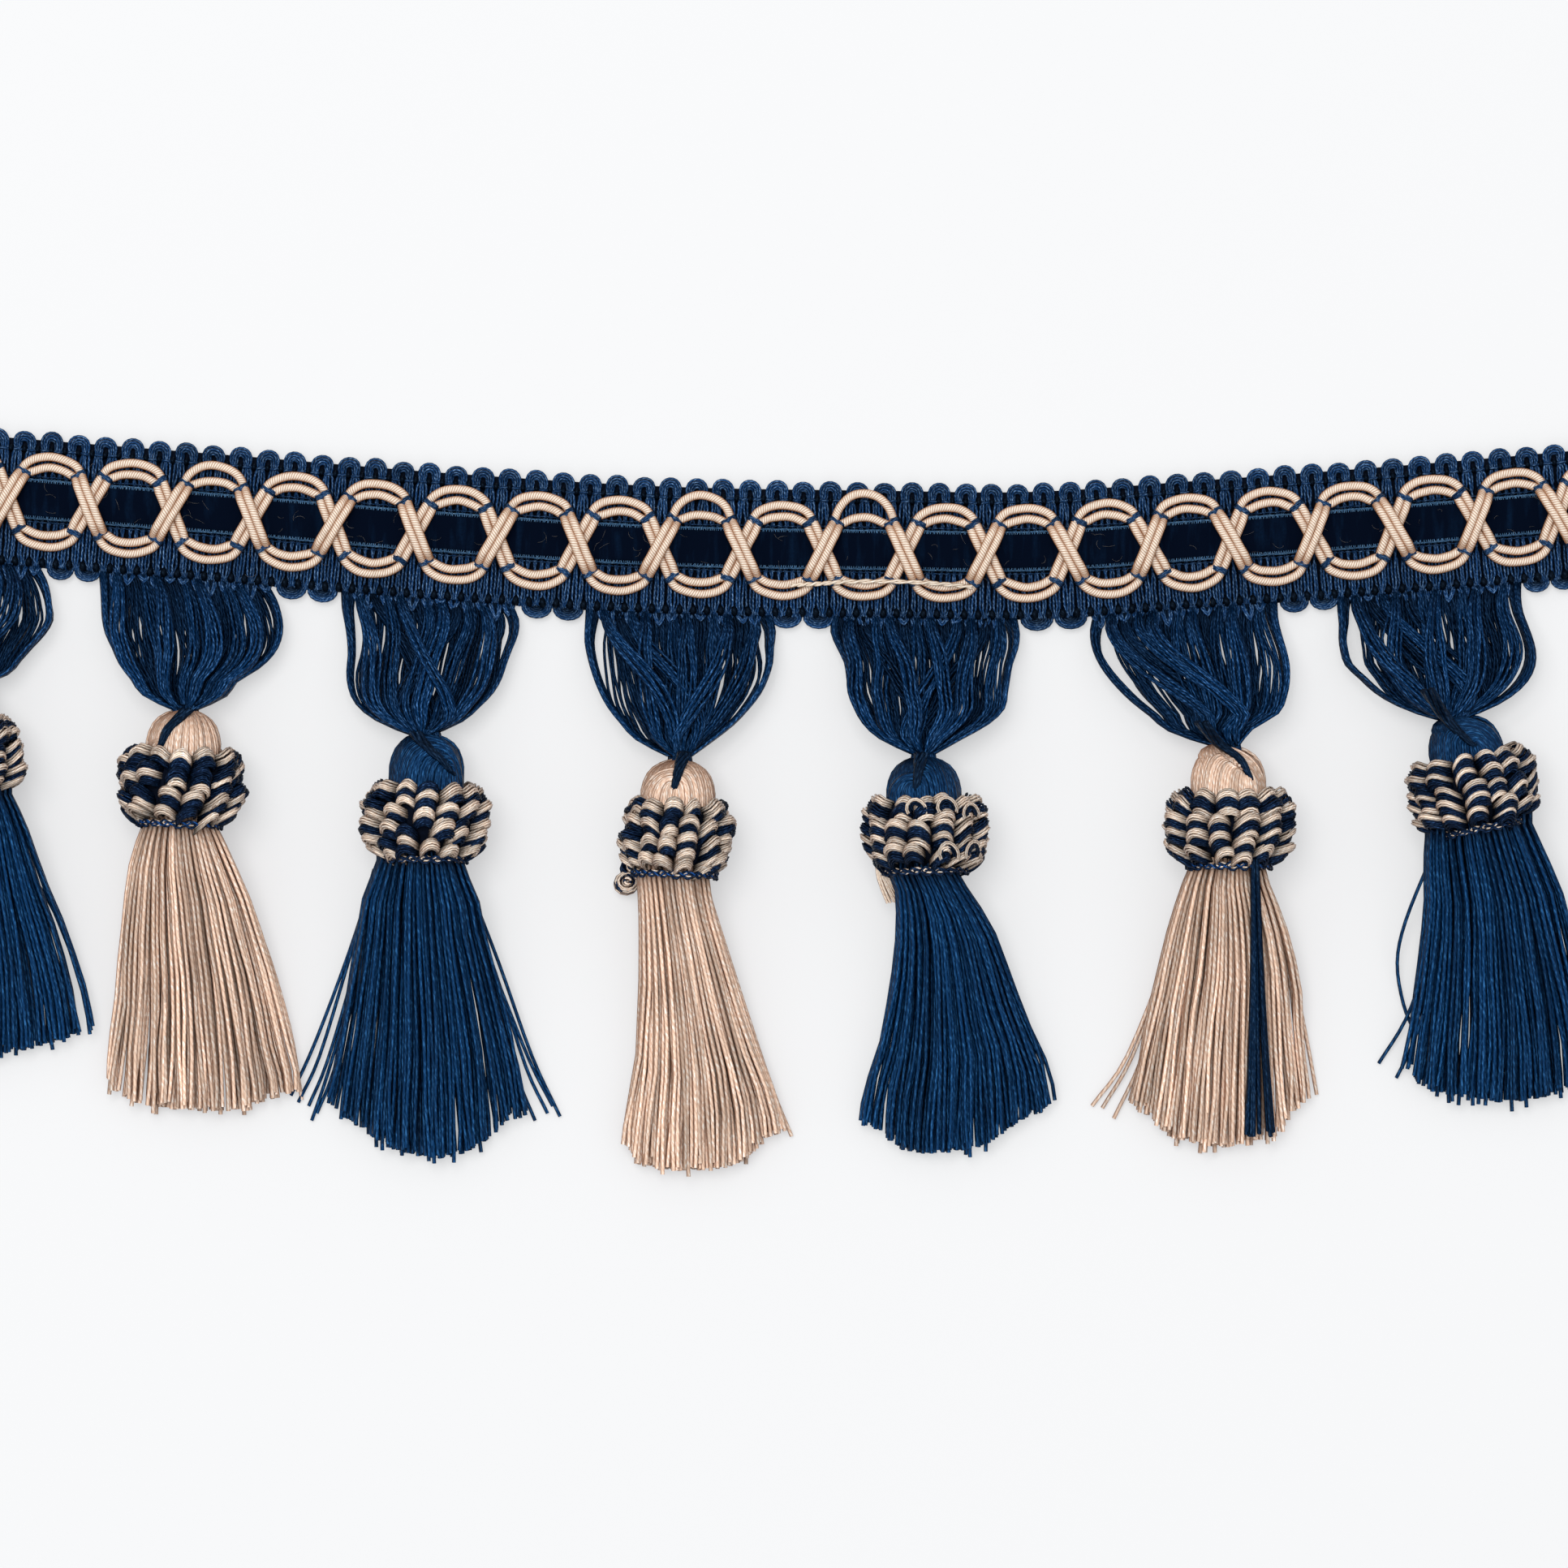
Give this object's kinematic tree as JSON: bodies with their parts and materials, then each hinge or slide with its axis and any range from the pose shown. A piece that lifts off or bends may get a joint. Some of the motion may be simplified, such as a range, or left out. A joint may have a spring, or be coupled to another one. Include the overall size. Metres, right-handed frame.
{
  "type": "tassel fringe",
  "caption": "Length of woven tassel fringe lying flat: looped-edge heading with velvet ribbon and waving wrapped cords, and tassels with looped collars hanging from yarn loops.",
  "frame": {"origin": "on the heading's back, at the middle of its length, on its centre line", "axes": "+X along the heading, +Y across it towards its free looped edge, +Z out of its back, up from the surface that the fringe lies on; the tassels reach towards -Y"},
  "size_m": [0.3395, 0.1437, 0.0208],
  "materials": {
    "navy_yarn": "twisted navy yarn with a soft sheen",
    "sand_yarn": "twisted sand-coloured yarn, matte",
    "velvet": "deep navy velvet pile",
    "cord_wrap": "fine beige thread wrapped round a cord core",
    "ruff_mix": "looped cord in dark navy and tan"
  },
  "bodies": {
    "root": {"heading": "navy_yarn", "velvet_ribbon": "velvet", "cord_over_left": "cord_wrap", "cord_over_right": "cord_wrap", "cord_under_left": "cord_wrap", "cord_under_right": "cord_wrap", "tassel_1": "navy_yarn", "tassel_2": "sand_yarn", "tassel_3": "navy_yarn", "tassel_4": "sand_yarn", "tassel_5": "navy_yarn", "tassel_6": "sand_yarn", "tassel_7": "navy_yarn", "ruff_1": "ruff_mix", "ruff_2": "ruff_mix", "ruff_3": "ruff_mix", "ruff_4": "ruff_mix", "ruff_5": "ruff_mix", "ruff_6": "ruff_mix", "ruff_7": "ruff_mix", "hanger_1": "navy_yarn", "hanger_2": "navy_yarn", "hanger_3": "navy_yarn", "hanger_4": "navy_yarn", "hanger_5": "navy_yarn", "hanger_6": "navy_yarn", "hanger_7": "navy_yarn", "tie_1": "navy_yarn", "tie_2": "navy_yarn", "tie_3": "navy_yarn", "tie_4": "navy_yarn", "tie_5": "navy_yarn", "tie_6": "navy_yarn", "tie_7": "navy_yarn"}
  },
  "joints": []
}
